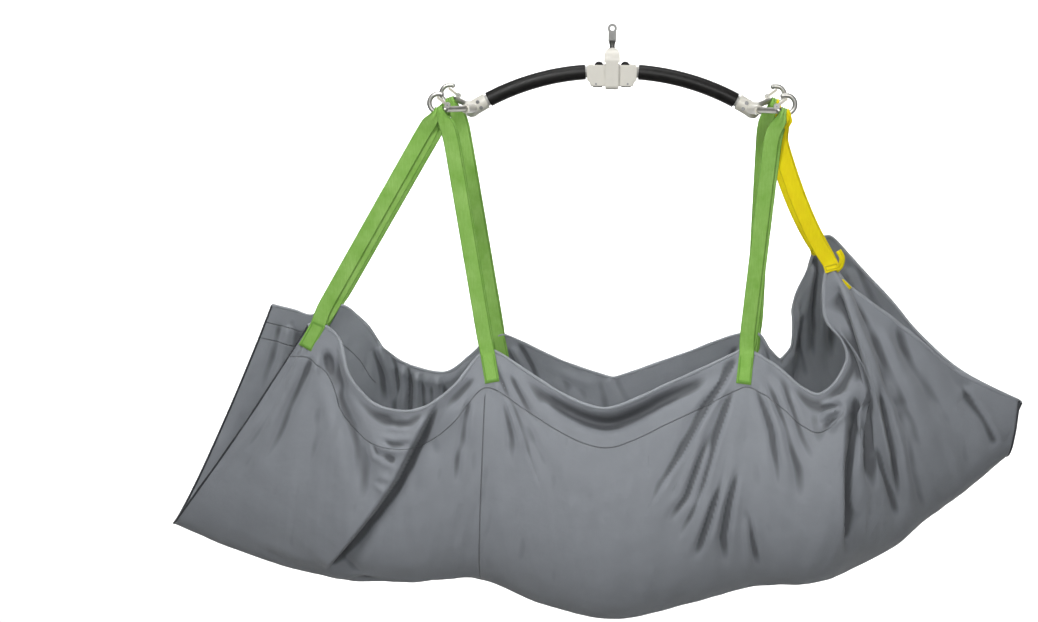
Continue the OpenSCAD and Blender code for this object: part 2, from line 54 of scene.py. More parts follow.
class Shader:
    """A node material with short calls for the nodes it uses."""

    def __init__(self, name, **values):
        self.material = bpy.data.materials.new(name)
        self.material.use_nodes = True
        self.tree = self.material.node_tree
        self.tree.nodes.clear()
        self.bsdf = self.add("ShaderNodeBsdfPrincipled", **values)
        self.output = self.add("ShaderNodeOutputMaterial")
        self.link(self.bsdf, "BSDF", self.output, "Surface")

    def add(self, kind, settings=None, **values):
        node = self.tree.nodes.new(kind)
        for key, value in (settings or {}).items():
            setattr(node, key, value)
        for key, value in values.items():
            node.inputs[key.replace("_", " ")].default_value = value
        return node

    def link(self, a, out, b, into):
        self.tree.links.new(a.outputs[out], b.inputs[into])

    def coords(self, scale=(1, 1, 1)):
        """Object coordinates in metres, stretched by scale."""
        source = self.add("ShaderNodeTexCoord")
        mapping = self.add("ShaderNodeMapping", Scale=scale)
        self.link(source, "Object", mapping, "Vector")
        return mapping, "Vector"

    def attribute(self, name):
        return self.add("ShaderNodeAttribute", {"attribute_name": name}), "Vector"

    def split(self, vector):
        """A node with the outputs X, Y and Z of a vector."""
        node = self.add("ShaderNodeSeparateXYZ")
        self.link(*vector, node, "Vector")
        return node

    def noise(self, where, scale, detail=4.0, rough=0.55):
        node = self.add("ShaderNodeTexNoise", Scale=scale, Detail=detail, Roughness=rough)
        self.link(*where, node, "Vector")
        return node, "Factor" if "Factor" in node.outputs else "Fac"

    def math(self, operation, a, b=None):
        node = self.add("ShaderNodeMath", {"operation": operation})
        for i, value in enumerate((a, b)):
            if value is None:
                continue
            if isinstance(value, (int, float)):
                node.inputs[i].default_value = value
            else:
                self.link(*value, node, i)
        return node, "Value"

    def remap(self, value, low, high, new_low=0.0, new_high=1.0):
        node = self.add("ShaderNodeMapRange")
        for key, number in zip(("From Min", "From Max", "To Min", "To Max"), (low, high, new_low, new_high)):
            node.inputs[key].default_value = number
        self.link(*value, node, "Value")
        return node, "Result"

    def mix(self, factor, a, b):
        node = self.add("ShaderNodeMix", {"data_type": "RGBA"})
        if isinstance(factor, (int, float)):
            node.inputs[0].default_value = factor
        else:
            self.link(*factor, node, 0)
        for socket, value in ((6, a), (7, b)):
            if isinstance(value[0], (int, float)):
                node.inputs[socket].default_value = (*value, 1)
            else:
                self.link(*value, node, socket)
        return node, 2

    def bump(self, height, distance, strength=1.0):
        node = self.add("ShaderNodeBump", Distance=distance, Strength=strength)
        self.link(*height, node, "Height")
        if self.bsdf.inputs["Normal"].links:
            self.link(self.bsdf.inputs["Normal"].links[0].from_node, "Normal", node, "Normal")
        self.link(node, "Normal", self.bsdf, "Normal")

    def colour(self, value):
        self.link(*value, self.bsdf, "Base Color")

    def roughness(self, value):
        self.link(*value, self.bsdf, "Roughness")


def srgb(code):
    """Linear colour of a hexadecimal sRGB code."""
    parts = [int(code[i : i + 2], 16) / 255 for i in (0, 2, 4)]
    return tuple(c / 12.92 if c < 0.04045 else ((c + 0.055) / 1.055) ** 2.4 for c in parts)


def shade(colour, factor):
    return tuple(min(1.0, c * factor) for c in colour)


# ---------- materials ----------


def metal(name, colour, rough, edge=0.5):
    """Brushed metal. edge is the brightness of what it reflects at a grazing angle."""
    shader = Shader(name, Metallic=1.0, Specular_Tint=(edge, edge, edge, 1))
    brushed = shader.noise(shader.coords((60, 60, 900)), 1.0, 3)
    patches = shader.noise(shader.coords(), 35.0, 4)
    shader.colour(shader.mix(shader.remap(patches, 0.3, 0.7), shade(colour, 0.86), shade(colour, 1.06)))
    shader.roughness(shader.remap(patches, 0.25, 0.75, rough - 0.06, rough + 0.12))
    shader.bump(brushed, 0.00005)
    return shader.material


def painted(name, colour, rough):
    """Powder paint with a fine orange peel and a thin clear coat."""
    shader = Shader(name, Coat_Weight=0.25, Coat_Roughness=0.18, Specular_IOR_Level=0.5)
    peel = shader.noise(shader.coords(), 420.0, 2)
    dust = shader.noise(shader.coords(), 22.0, 5)
    shader.colour(shader.mix(shader.remap(dust, 0.35, 0.75), colour, shade(colour, 0.93)))
    shader.roughness(shader.remap(dust, 0.3, 0.8, rough - 0.05, rough + 0.1))
    shader.bump(peel, 0.00006)
    return shader.material


def plastic(name, colour, rough):
    """Moulded plastic with a fine texture."""
    shader = Shader(name, Specular_IOR_Level=0.5)
    texture = shader.noise(shader.coords(), 1300.0, 2)
    tone = shader.noise(shader.coords(), 30.0, 3)
    shader.colour(shader.mix(shader.remap(tone, 0.3, 0.7), colour, shade(colour, 0.95)))
    shader.roughness(shader.remap(tone, 0.3, 0.7, rough - 0.04, rough + 0.06))
    shader.bump(texture, 0.00003)
    return shader.material


def foam():
    """Black foam of the grips: small closed cells under a worn skin."""
    shader = Shader("grip_foam", Specular_IOR_Level=0.3)
    cells = shader.add("ShaderNodeTexVoronoi", Scale=900.0)
    shader.link(*shader.coords(), cells, "Vector")
    skin = shader.noise(shader.coords(), 70.0, 5)
    shader.colour(shader.mix(shader.remap(skin, 0.35, 0.7), srgb("100f0e"), srgb("1c1b1a")))
    shader.roughness(shader.remap(skin, 0.3, 0.75, 0.36, 0.52))
    shader.bump((cells, "Distance"), 0.00012, 0.6)
    shader.bump(skin, 0.0006, 0.5)
    return shader.material


def rubber():
    """Matt black rubber of the buffers and the seal."""
    shader = Shader("black_rubber", Specular_IOR_Level=0.35)
    grain = shader.noise(shader.coords(), 800.0, 3)
    shader.colour(shader.mix(shader.remap(grain, 0.3, 0.7), srgb("141414"), srgb("222222")))
    shader.roughness(shader.remap(grain, 0.3, 0.7, 0.62, 0.78))
    shader.bump(grain, 0.0001)
    return shader.material


# Sizes in metres: the sewing thread's half width and stitch pitch, how wide a seam dips, the pitches of the
# cloth's warp, weft and twill and of the webbing's ribs and threads, and the webbing's half width without and
# with its edge
STITCH_HALF, STITCH_PITCH, SEAM_DIP = 0.0006, 0.0034, 0.0014
WARP_PITCH, WEFT_PITCH, TWILL_PITCH = 0.0011, 0.0009, 0.0016
RIB_PITCH, THREAD_PITCH = 0.0016, 0.0013
WEBBING_FLAT, WEBBING_EDGE = 0.0118, 0.0138


def waves(shader, value, pitch):
    """A sine of a value in metres, with the given pitch."""
    return shader.math("SINE", shader.math("MULTIPLY", value, 2 * math.pi / pitch))


def stitch_line(shader, distance, along):
    """1 on the stitches of a sewn line, 0 elsewhere. distance and along are in metres."""
    near = shader.math("LESS_THAN", shader.math("ABSOLUTE", distance), STITCH_HALF)
    turn = shader.math("FRACT", shader.math("DIVIDE", along, STITCH_PITCH))
    dash = shader.math("LESS_THAN", turn, 0.68)
    return shader.math("MULTIPLY", near, dash)


def cloth_material(name, colour, hem_seam=True):
    """Satin-woven cloth. The layout attribute holds metres along, metres across and how deep the point lies
    in a fold, from 0 to 1, which darkens the colour as painted shade in the folds. The seams attribute holds
    signed distances in metres from three sewn lines, whose grooves also get painted shade."""
    shader = Shader(name, Sheen_Weight=0.22, Sheen_Roughness=0.4, Specular_IOR_Level=0.32)
    layout = shader.split(shader.attribute("layout"))
    along, across, depth = (layout, "X"), (layout, "Y"), (layout, "Z")
    warp = waves(shader, along, WARP_PITCH)
    weft = waves(shader, across, WEFT_PITCH)
    twill = waves(shader, shader.math("ADD", along, across), TWILL_PITCH)
    weave = shader.math("ADD", shader.math("MULTIPLY", warp, weft), shader.math("MULTIPLY", twill, 0.7))
    slub = shader.noise(shader.coords((30, 30, 30)), 1.0, 6)
    cloud = shader.noise(shader.coords(), 9.0, 4)
    crumple = shader.noise(shader.coords(), 26.0, 6, 0.62)
    tone = shader.mix(shader.remap(cloud, 0.3, 0.7), shade(colour, 0.95), shade(colour, 1.05))
    tone = shader.mix(shader.remap(slub, 0.35, 0.65, 0, 0.35), tone, shade(colour, 0.88))
    # Painted shade: the colour darkens towards a fifth of itself as the point lies deeper in a fold
    tone = shader.mix(shader.remap(depth, 0.2, 1.0, 0, 0.75), tone, shade(colour, 0.2))
    if hem_seam:
        lines = shader.split(shader.attribute("seams"))
        stitches, groove = None, None
        for axis, run in (("X", along), ("Y", across), ("Z", along)):
            stitch = stitch_line(shader, (lines, axis), run)
            dip = shader.remap(shader.math("ABSOLUTE", (lines, axis)), 0.0, SEAM_DIP, 1.0, 0.0)
            stitches = stitch if stitches is None else shader.math("MAXIMUM", stitches, stitch)
            groove = dip if groove is None else shader.math("MAXIMUM", groove, dip)
        # Painted shade in the seams' grooves; the stitches' thread is a little darker than the cloth
        tone = shader.mix(shader.math("MULTIPLY", groove, 0.3), tone, shade(colour, 0.5))
        tone = shader.mix(shader.math("MULTIPLY", stitches, 0.3), tone, shade(colour, 0.7))
        shader.bump(shader.math("SUBTRACT", 1.0, groove), 0.0022)
    shader.colour(tone)
    shader.roughness(shader.remap(cloud, 0.3, 0.7, 0.5, 0.62))
    shader.bump(crumple, 0.0035, 0.5)
    shader.bump(weave, 0.00008, 0.6)
    return shader.material


def webbing_material(name, colour, bright, dark):
    """Ribbed webbing. The layout attribute holds metres along, metres across with 0 at the middle, and how
    much the point belongs to a sewn end: see sewn_box."""
    shader = Shader(name, Sheen_Weight=0.15, Sheen_Roughness=0.35, Specular_IOR_Level=0.25)
    layout = shader.split(shader.attribute("layout"))
    along, across, sewn = (layout, "X"), (layout, "Y"), (layout, "Z")
    ribs = waves(shader, along, RIB_PITCH)
    threads = waves(shader, across, THREAD_PITCH)
    weave = shader.math("MULTIPLY", ribs, shader.math("ADD", shader.math("MULTIPLY", threads, 0.35), 0.8))
    edge = shader.remap(shader.math("ABSOLUTE", across), WEBBING_FLAT, WEBBING_EDGE)
    fibre = shader.noise(shader.coords((400, 400, 60)), 1.0, 4)
    cloud = shader.noise(shader.coords(), 24.0, 4)
    tone = shader.mix(shader.remap(cloud, 0.3, 0.7), shade(colour, 0.93), bright)
    tone = shader.mix(shader.remap(fibre, 0.3, 0.7, 0, 0.4), tone, shade(colour, 0.8))
    tone = shader.mix(shader.math("MULTIPLY", edge, 0.5), tone, dark)
    tone = shader.mix(shader.math("MULTIPLY", shader.remap(weave, -1.1, 1.1, 1, 0), 0.22), tone, dark)
    tone = shader.mix(shader.remap(sewn, 0.0, 0.4, 0, 0.4), tone, shade(colour, 0.82))
    stitches = shader.remap(sewn, 0.55, 0.9)
    tone = shader.mix(shader.math("MULTIPLY", stitches, 0.6), tone, dark)
    shader.colour(tone)
    shader.roughness(shader.remap(fibre, 0.3, 0.7, 0.55, 0.75))
    shader.bump(weave, 0.00025, 0.8)
    shader.bump(shader.math("SUBTRACT", 1.0, stitches), 0.0006)
    return shader.material


GREY = srgb("8b8f95")
GREEN = srgb("8cc254")
YELLOW = srgb("ffe600")
materials = {
    "eye_steel": metal("eye_steel", (0.27, 0.27, 0.26), 0.36, edge=0.25),
    "bearing_bronze": metal("bearing_bronze", (0.60, 0.44, 0.22), 0.36),
    "cream_paint": painted("cream_paint", srgb("dbd8ce"), 0.38),
    "cream_plastic": plastic("cream_plastic", srgb("dbd8ce"), 0.42),
    "gate_plastic": plastic("gate_plastic", srgb("cfcabb"), 0.36),
    "fastener_steel": metal("fastener_steel", (0.34, 0.34, 0.34), 0.34, edge=0.3),
    "frame_steel": painted("frame_steel", srgb("b9b8b4"), 0.38),
    "grip_foam": foam(),
    "black_rubber": rubber(),
    "hook_steel": metal("hook_steel", (0.60, 0.59, 0.55), 0.34, edge=0.3),
    "green_webbing": webbing_material("green_webbing", GREEN, srgb("a8d674"), srgb("568c2c")),
    "yellow_webbing": webbing_material("yellow_webbing", YELLOW, srgb("fff000"), srgb("b3a500")),
    "sling_cloth": cloth_material("sling_cloth", GREY),
    "edge_tape": cloth_material("edge_tape", srgb("9a9ea4"), hem_seam=False),
}
# Near-black cloth for the end hems: painted shadow of the gap along the sling's ends
end_hem_shadow = cloth_material("end_hem_shadow", srgb("3c3e42"), hem_seam=False)

for part in frame["record"]["subparts"]:
    mesh = nodes[part["node"]].data
    mesh.materials.clear()
    mesh.materials.append(materials[part["material_slot"]])


# ---------- mesh helpers ----------


def make_piece(name, points, faces, slot, layout=None, seams=None):
    """A smooth mesh piece of points in metres. layout and seams are attributes, one row a point."""
    mesh = bpy.data.meshes.new(name)
    mesh.from_pydata([tuple(p) for p in points], [], [tuple(f) for f in faces])
    mesh.update()
    mesh.polygons.foreach_set("use_smooth", [True] * len(mesh.polygons))
    for title, rows in (("layout", layout), ("seams", seams)):
        if rows is not None:
            data = mesh.attributes.new(title, "FLOAT_VECTOR", "POINT")
            data.data.foreach_set("vector", np.asarray(rows, np.float32).ravel())
    mesh.materials.append(materials[slot])
    piece = bpy.data.objects.new(name, mesh)
    bpy.context.scene.collection.objects.link(piece)
    return piece


def grid_faces(rows, cols, start=0, flip=False, closed=False):
    """Quads between a grid's points, row by row. closed joins the last column to the first."""
    i, j = np.meshgrid(np.arange(rows - 1), np.arange(cols if closed else cols - 1), indexing="ij")
    a = start + i * cols + j
    b = start + i * cols + (j + 1) % cols
    quads = np.stack([a, b, b + cols, a + cols], -1).reshape(-1, 4)
    return quads[:, ::-1] if flip else quads


def swept_piece(name, rings, slot, layout):
    """A closed piece through rings of points in mm, capped at both ends. layout has one row a point: mm
    along, mm across and the sewn share."""
    rows, sides = rings.shape[:2]
    quads = grid_faces(rows, sides, closed=True).tolist()
    caps = [list(range(sides))[::-1], list(range((rows - 1) * sides, rows * sides))]
    layout = layout.reshape(-1, 3) * np.array([MM, MM, 1])
    return make_piece(name, rings.reshape(-1, 3) * MM, quads + caps, slot, layout)


def arc_length(points, axis):
    """Length along an axis of a grid of points, from 0."""
    step_length = np.linalg.norm(np.diff(points, axis=axis), axis=-1)
    zero = np.zeros_like(np.take(step_length, [0], axis=axis))
    return np.cumsum(np.concatenate([zero, step_length], axis=axis), axis=axis)


def unit(v):
    return v / np.maximum(np.linalg.norm(v, axis=-1, keepdims=True), 1e-12)


def smooth_table(table, at):
    """Smooth curve through rows [t, value, ...] at the given t, as an array with one row a t."""
    table = np.asarray(table, float)
    t, value = table[:, 0], table[:, 1:]
    slope = np.empty_like(value)
    slope[1:-1] = (value[2:] - value[:-2]) / (t[2:] - t[:-2])[:, None]
    slope[0] = (value[1] - value[0]) / (t[1] - t[0])
    slope[-1] = (value[-1] - value[-2]) / (t[-1] - t[-2])
    at = np.asarray(at, float)
    i = np.clip(np.searchsorted(t, at, side="right") - 1, 0, len(t) - 2)
    w = t[i + 1] - t[i]
    q = ((at - t[i]) / w)[:, None]
    w = w[:, None]
    return (
        value[i] * (2 * q**3 - 3 * q**2 + 1)
        + value[i + 1] * (3 * q**2 - 2 * q**3)
        + w * slope[i] * (q**3 - 2 * q**2 + q)
        + w * slope[i + 1] * (q**3 - q**2)
    )


# ---------- sling surface ----------

# Rims as [station, x, y, z] in mm. Stations: 0 foot end, 1 foot strap, 2 thigh strap, 3 hip strap,
# 4 head strap, 5 head end.
NEAR_RIM = [
    [0.00, -572, -120, -556], [1.00, -550, -120, -549], [1.06, -534, -121, -560], [1.12, -515, -124, -577],
    [1.20, -502, -133, -609], [1.28, -494, -141, -642], [1.38, -471, -148, -675], [1.48, -442, -151, -701],
    [1.58, -405, -152, -712], [1.68, -368, -152, -712], [1.77, -335, -149, -699], [1.88, -288, -137, -662],
    [1.96, -250, -122, -614], [2.00, -231, -120, -600], [2.05, -207, -121, -606], [2.12, -168, -130, -630],
    [2.28, -92, -145, -676], [2.40, -38, -154, -699], [2.49, 4, -158, -703], [2.60, 56, -156, -684],
    [2.70, 106, -150, -659], [2.79, 153, -142, -638], [2.95, 237, -122, -600], [3.00, 259, -120, -594],
    [3.10, 302, -123, -616], [3.17, 323, -129, -631],
    [3.28, 360, -139, -661], [3.38, 392, -144, -674], [3.48, 421, -142, -655], [3.56, 438, -137, -625],
    [3.63, 441, -134, -602], [3.71, 431, -131, -574], [3.80, 404, -128, -537], [3.87, 398, -125, -502],
    [3.95, 401, -121, -450], [4.00, 409, -120, -425], [4.10, 444, -116, -469], [4.21, 485, -112, -501],
    [4.33, 531, -107, -534], [4.48, 587, -95, -582], [4.69, 664, -70, -644], [5.00, 786, -40, -704],
]
FAR_RIM = [
    [0.00, -686, 130, -563], [0.45, -640, 126, -573], [0.75, -603, 122, -582], [0.90, -583, 120, -568],
    [1.00, -560, 120, -560], [1.06, -535, 120, -563], [1.13, -510, 123, -583], [1.20, -488, 126, -607],
    [1.29, -461, 133, -652], [1.40, -422, 139, -682], [1.55, -366, 140, -701], [1.68, -325, 138, -699],
    [1.82, -283, 130, -664], [1.94, -248, 122, -630], [2.00, -226, 120, -620], [2.05, -210, 120, -618],
    [2.25, -101, 136, -672], [2.43, -4, 149, -708], [2.47, 16, 149, -708], [2.70, 142, 140, -660],
    [3.00, 288, 120, -606], [3.10, 322, 124, -645], [3.18, 344, 130, -666], [3.27, 362, 132, -641],
    [3.36, 369, 132, -605], [3.55, 376, 128, -533], [3.70, 393, 125, -484], [3.85, 405, 122, -437],
    [4.00, 432, 120, -411], [4.15, 474, 120, -451], [4.27, 502, 118, -482], [4.46, 561, 112, -543],
    [4.64, 616, 100, -606], [4.83, 698, 70, -674], [5.00, 808, 42, -726],
]
# The lowest line as [station, x] and [x, z], and the sling's half width above it as [x, half width]
KEEL_STATION = [[0, -870], [1, -743], [2, -249], [3, 283], [4, 557], [5, 772]]
KEEL = [
    [-870, -985], [-743, -1035], [-560, -1082], [-400, -1093], [-249, -1084], [-130, -1128],
    [16, -1154], [165, -1118], [283, -1083], [431, -1066], [557, -1008], [613, -955],
    [685, -898], [772, -822],
]
BELLY = [
    [-870, 90], [-743, 130], [-560, 172], [-249, 190], [16, 222],
    [283, 230], [431, 222], [557, 186], [685, 115], [772, 52],
]
# Where the rim turns back above the shoulder the cloth leaves it sideways: [station, shift in x, lift]
TURN_BACK = [
    [0, 0, 0], [3.35, 0, 0], [3.55, 26, 0.10], [3.7, 78, 0.34], [3.85, 88, 0.38], [4.0, 44, 0.22],
    [4.3, 10, 0.08], [4.7, 0, 0], [5, 0, 0],
]
# In mm: the grid's cell along the keel, the cloth's thickness, and how far two seams run from the rims
CELL = 3.6
CLOTH = 1.8
SEAM_DEPTH = 72.0
SECOND_SEAM = 38.0
# Columns of the grid from the keel to a rim
HALF_COLS = 150
# A seam is left out where its distance is multiplied by this
UNSEEN = 60.0


def base_surface(s, v):
    """Points of the sling in mm at stations s and places v, from -1 at the near rim to 1 at the far rim.
    Each half section is a cubic curve from the keel to a rim. The far one is more upright at the seat."""
    keel_x = np.interp(s, [row[0] for row in KEEL_STATION], [row[1] for row in KEEL_STATION])
    keel_z = smooth_table(KEEL, keel_x)[:, 0]
    half = smooth_table(BELLY, keel_x)[:, 0]
    rims = {-1: smooth_table(NEAR_RIM, s), 1: smooth_table(FAR_RIM, s)}
    low = np.stack([keel_x, 0 * keel_x, keel_z], -1)
    shift, lift = (np.interp(s, [row[0] for row in TURN_BACK], [row[k] for row in TURN_BACK]) for k in (1, 2))
    out = np.empty((len(s), len(v), 3))
    for j, place in enumerate(v):
        side = -1 if place < 0 else 1
        top, t = rims[side], abs(place)
        first = low + np.stack([0 * half, side * half * 1.02, 0 * half], -1)
        turned, raised = (shift, 0.45 + lift) if side < 0 else (0, 0.45)
        second = np.stack(
            [(low[:, 0] + top[:, 0]) / 2 + turned, side * half * (1.12 - raised * 0.3 + 0.135),
             low[:, 2] * (1 - raised) + top[:, 2] * raised], -1
        )
        if side > 0:
            upright = 0.45 + 0.45 * np.exp(-(((s - 2.5) / 0.55) ** 2))
            second[:, 1] = second[:, 1] * (1 - upright) + top[:, 1] * upright
        out[:, j] = (
            low * (1 - t) ** 3 + first * 3 * t * (1 - t) ** 2 + second * 3 * t * t * (1 - t) + top * t**3
        )
    return out


def grid_normals(points):
    """Unit normals of the sling's grid, pointing out of it: those of the middle column point down."""
    normals = unit(np.cross(np.gradient(points, axis=0), np.gradient(points, axis=1)))
    return -normals if normals[:, points.shape[1] // 2, 2].mean() > 0 else normals


def line_distance(x, z, line):
    """Signed distance from a line in the XZ plane, positive on its right, and the share along it."""
    line = np.asarray(line, float)
    seg = np.diff(line, axis=0)
    length = np.hypot(seg[:, 0], seg[:, 1])
    start = np.concatenate([[0], np.cumsum(length)[:-1]])
    best = np.full(x.shape, 1e9)
    signed, share = np.zeros(x.shape), np.zeros(x.shape)
    for k in range(len(seg)):
        px, pz = x - line[k, 0], z - line[k, 1]
        q = (px * seg[k, 0] + pz * seg[k, 1]) / length[k] ** 2
        held = np.clip(q, 0, 1)
        dx, dz = px - held * seg[k, 0], pz - held * seg[k, 1]
        far = np.hypot(dx, dz)
        side = np.sign(px * seg[k, 1] - pz * seg[k, 0])
        closer = far < best
        best = np.where(closer, far, best)
        signed = np.where(closer, far * side, signed)
        share = np.where(closer, (start[k] + q * length[k]) / length.sum(), share)
    return signed, share


def fade(share, start, end):
    """1 along a line, falling smoothly to 0 at its ends over the shares start and end."""
    rise = np.clip(share / start, 0, 1)
    fall = np.clip((1 - share) / end, 0, 1)
    return (rise * rise * (3 - 2 * rise)) * (fall * fall * (3 - 2 * fall))


def valley(x, z, line, depth, width, start, end, lips):
    """A soft crease with raised lips on both sides. It widens along its length."""
    d, share = line_distance(x, z, line)
    wide = width * (0.7 + 0.7 * np.clip(share, 0, 1))
    shape = -np.exp(-((d / wide) ** 2)) + lips * np.exp(-(((np.abs(d) - 2.0 * wide) / (1.1 * wide)) ** 2))
    return depth * shape * fade(share, start, end)


def step(x, z, line, side, height, drop, left, right, start, end, crisp):
    """A fold that stands proud on one side and falls away sharply behind it on the other. The low side is
    the line's right for side 1 and its left for side -1."""
    d, share = line_distance(x, z, line)
    d = d * side
    over = 0.5 - 0.5 * np.tanh(d / crisp)
    shape = height * np.exp(-np.abs(d) / left) * over - drop * np.exp(-np.abs(d) / right) * (1 - over)
    return shape * fade(share, start, end)


# Folds as ("valley", line, depth, width, fade at start, at end, lips) or ("step", line, low side, height,
# drop, reach on the high side, on the low side, fade at start, at end, width of the drop). Lines hold x and
# z in mm.
NEAR_FOLDS = [
    ("step", [[-318, -686], [-335, -716], [-370, -782], [-399, -841], [-442, -905], [-491, -971],
              [-526, -1016], [-548, -1045]],
     -1, 15, 36, 40, 55, 0.22, 0.08, 3.2),
    ("valley", [[-559, -608], [-583, -659], [-611, -717], [-641, -786], [-674, -850]],
     5.5, 10, 0.1, 0.5, 0.5),
    ("valley", [[-539, -597], [-509, -691], [-489, -738], [-474, -783], [-460, -861], [-452, -920]],
     11, 17, 0.08, 0.4, 0.35),
    ("valley", [[-520, -590], [-512, -640], [-498, -690]], 4, 6, 0.2, 0.4, 0.5),
    ("valley", [[-430, -733], [-396, -738], [-364, -736]], 2.6, 3.8, 0.3, 0.3, 0.8),
    ("valley", [[-433, -766], [-406, -775], [-364, -774]], 3.6, 5.0, 0.3, 0.3, 0.9),
    ("valley", [[-448, -768], [-437, -791], [-393, -806]], 3.8, 5.2, 0.3, 0.3, 0.9),
    ("valley", [[-443, -842], [-407, -853]], 2.4, 5.5, 0.4, 0.4, 0.8),
    ("valley", [[-263, -680], [-272, -740], [-279, -801]], 3.5, 7, 0.2, 0.5, 0.5),
    ("valley", [[-284, -766], [-288, -864]], 3, 7, 0.4, 0.5, 0.5),
    ("valley", [[-254, -650], [-300, -700], [-338, -760]], 4, 9, 0.1, 0.5, 0.5),
    ("valley", [[-215, -617], [-198, -678], [-181, -798], [-166, -841]], 3.5, 5.5, 0.15, 0.6, 0.5),
    ("step", [[-211, -637], [-174, -729], [-143, -814], [-113, -886]], -1, 4, 5.5, 12, 12, 0.12, 0.6, 1.8),
    ("valley", [[-192, -698], [-177, -762], [-177, -797]], 3, 6, 0.3, 0.5, 0.5),
    ("valley", [[-190, -640], [-147, -713], [-120, -748]], 4, 6, 0.2, 0.5, 0.5),
    ("valley", [[-170, -690], [-128, -790], [-96, -850]], 2.2, 8, 0.3, 0.5, 0.5),
    ("step", [[246, -606], [204, -671], [155, -754], [104, -836], [80, -881], [62, -912]],
     1, 8, 12, 22, 17, 0.1, 0.5, 4.4),
    ("step", [[238, -655], [205, -752], [182, -833], [157, -900], [124, -965]],
     1, 7, 11, 18, 15, 0.15, 0.45, 4.4),
    ("valley", [[191, -731], [168, -797], [147, -859], [101, -918]], 6, 6.5, 0.3, 0.5, 0.7),
    ("valley", [[226, -640], [180, -690], [140, -740]], 4, 6, 0.2, 0.5, 0.5),
    ("valley", [[211, -830], [194, -883], [167, -973], [158, -991]], 6, 6.5, 0.3, 0.4, 0.7),
    ("valley", [[242, -793], [226, -870], [217, -935], [222, -1000]], 6.5, 7.5, 0.35, 0.35, 0.7),
    ("valley", [[264, -880], [272, -940], [286, -1010]], 4.5, 6, 0.4, 0.4, 0.7),
    ("valley", [[276, -648], [304, -736], [315, -807], [322, -880]], 4.5, 7, 0.15, 0.5, 0.5),
    ("valley", [[290, -640], [330, -720], [352, -800], [360, -880]], 3.5, 8, 0.2, 0.5, 0.5),
    ("valley", [[325, -641], [359, -747], [381, -807]], 4.5, 7, 0.3, 0.5, 0.5),
    ("step", [[447, -655], [448, -685], [446, -725], [442, -792], [444, -911], [450, -985]],
     -1, 12, 40, 34, 44, 0.18, 0.3, 3.6),
    ("valley", [[392, -700], [425, -690], [441, -696]], 7, 4.6, 0.3, 0.3, 0.9),
    ("valley", [[441, -699], [413, -717], [400, -731]], 7, 4.6, 0.3, 0.3, 0.9),
    ("step", [[421, -457], [445, -526], [460, -571], [480, -637], [499, -706], [514, -773],
              [536, -851], [551, -901], [556, -940]],
     1, 10, 20, 18, 26, 0.1, 0.3, 2.6),
    ("valley", [[494, -638], [518, -707], [534, -774], [544, -844], [555, -903], [560, -950]],
     9, 8, 0.25, 0.35, 0.7),
    ("valley", [[468, -669], [485, -736], [497, -813], [498, -871]], 7, 9, 0.3, 0.4, 0.6),
    ("valley", [[529, -531], [574, -622], [645, -725], [680, -780]], 6, 15, 0.15, 0.5, 0.5),
    ("valley", [[480, -540], [530, -640], [570, -740], [590, -830]], 4.5, 13, 0.15, 0.5, 0.5),
    ("step", [[677, -672], [719, -728], [752, -787]], 1, 5, 7, 16, 14, 0.1, 0.15, 3.0),
    ("valley", [[-520, -1068], [-400, -1079], [-300, -1076], [-240, -1066]], 5, 7, 0.2, 0.15, 0.4),
    ("valley", [[-700, -1000], [-620, -1040], [-540, -1062]], 4, 14, 0.3, 0.3, 0.4),
]
FAR_FOLDS = [
    ("valley", [[-470, -640], [-446, -712], [-430, -800]], 8, 9, 0.1, 0.5, 0.5),
    ("valley", [[-424, -690], [-420, -740], [-424, -820]], 9, 8, 0.1, 0.5, 0.6),
    ("valley", [[-392, -700], [-396, -760], [-400, -830]], 7, 7, 0.1, 0.5, 0.6),
    ("valley", [[-352, -706], [-350, -770], [-356, -830]], 5, 8, 0.1, 0.5, 0.6),
    ("valley", [[-240, -650], [-276, -730], [-300, -820]], 9, 9, 0.1, 0.5, 0.5),
    ("valley", [[-196, -640], [-170, -690], [-150, -780]], 7, 8, 0.1, 0.6, 0.5),
    ("valley", [[-110, -690], [-60, -716], [-20, -730]], 2, 9, 0.3, 0.4, 0.5),
    ("valley", [[268, -640], [236, -710], [200, -800]], 8, 9, 0.1, 0.5, 0.5),
    ("valley", [[300, -640], [316, -700], [320, -780]], 7, 8, 0.1, 0.5, 0.5),
    ("valley", [[404, -470], [392, -560], [396, -700]], 9, 10, 0.05, 0.4, 0.5),
    ("valley", [[422, -450], [424, -560], [430, -700]], 10, 9, 0.05, 0.4, 0.6),
    ("valley", [[380, -560], [366, -640], [368, -720]], 8, 9, 0.1, 0.4, 0.5),
    ("valley", [[-650, -600], [-668, -680], [-700, -780]], 6, 13, 0.1, 0.5, 0.4),
    ("valley", [[-600, -600], [-620, -680], [-650, -780]], 4, 10, 0.1, 0.5, 0.4),
    ("valley", [[-4, -710], [20, -780], [30, -860]], 2.5, 12, 0.05, 0.5, 0.4),
    ("valley", [[470, -470], [520, -580], [560, -700]], 7, 12, 0.1, 0.5, 0.4),
]


def folded(x, z, folds):
    """Height in mm that a list of folds gives the cloth at x and z."""
    total = np.zeros(x.shape)
    for kind, *values in folds:
        total += (step if kind == "step" else valley)(x, z, *values)
    return total


def ripples(along, across, seed):
    """Fine uneven ripples that run down the cloth, from -1 to 1."""
    draw = np.random.default_rng(seed)
    total = np.zeros(along.shape)
    for _ in range(14):
        wave = draw.uniform(22, 90)
        slant = draw.uniform(-0.35, 0.35)
        bend = draw.uniform(60, 190)
        phase = draw.uniform(0, 6.28, 3)
        warped = along + slant * across + 9 * np.sin(across / bend + phase[1])
        envelope = 0.5 + 0.5 * np.sin(along / (wave * 3.1) + across / (bend * 1.7) + phase[2])
        total += np.sin(2 * np.pi * warped / wave + phase[0]) * envelope * (wave / 60) ** 0.8
    return total / 4.0


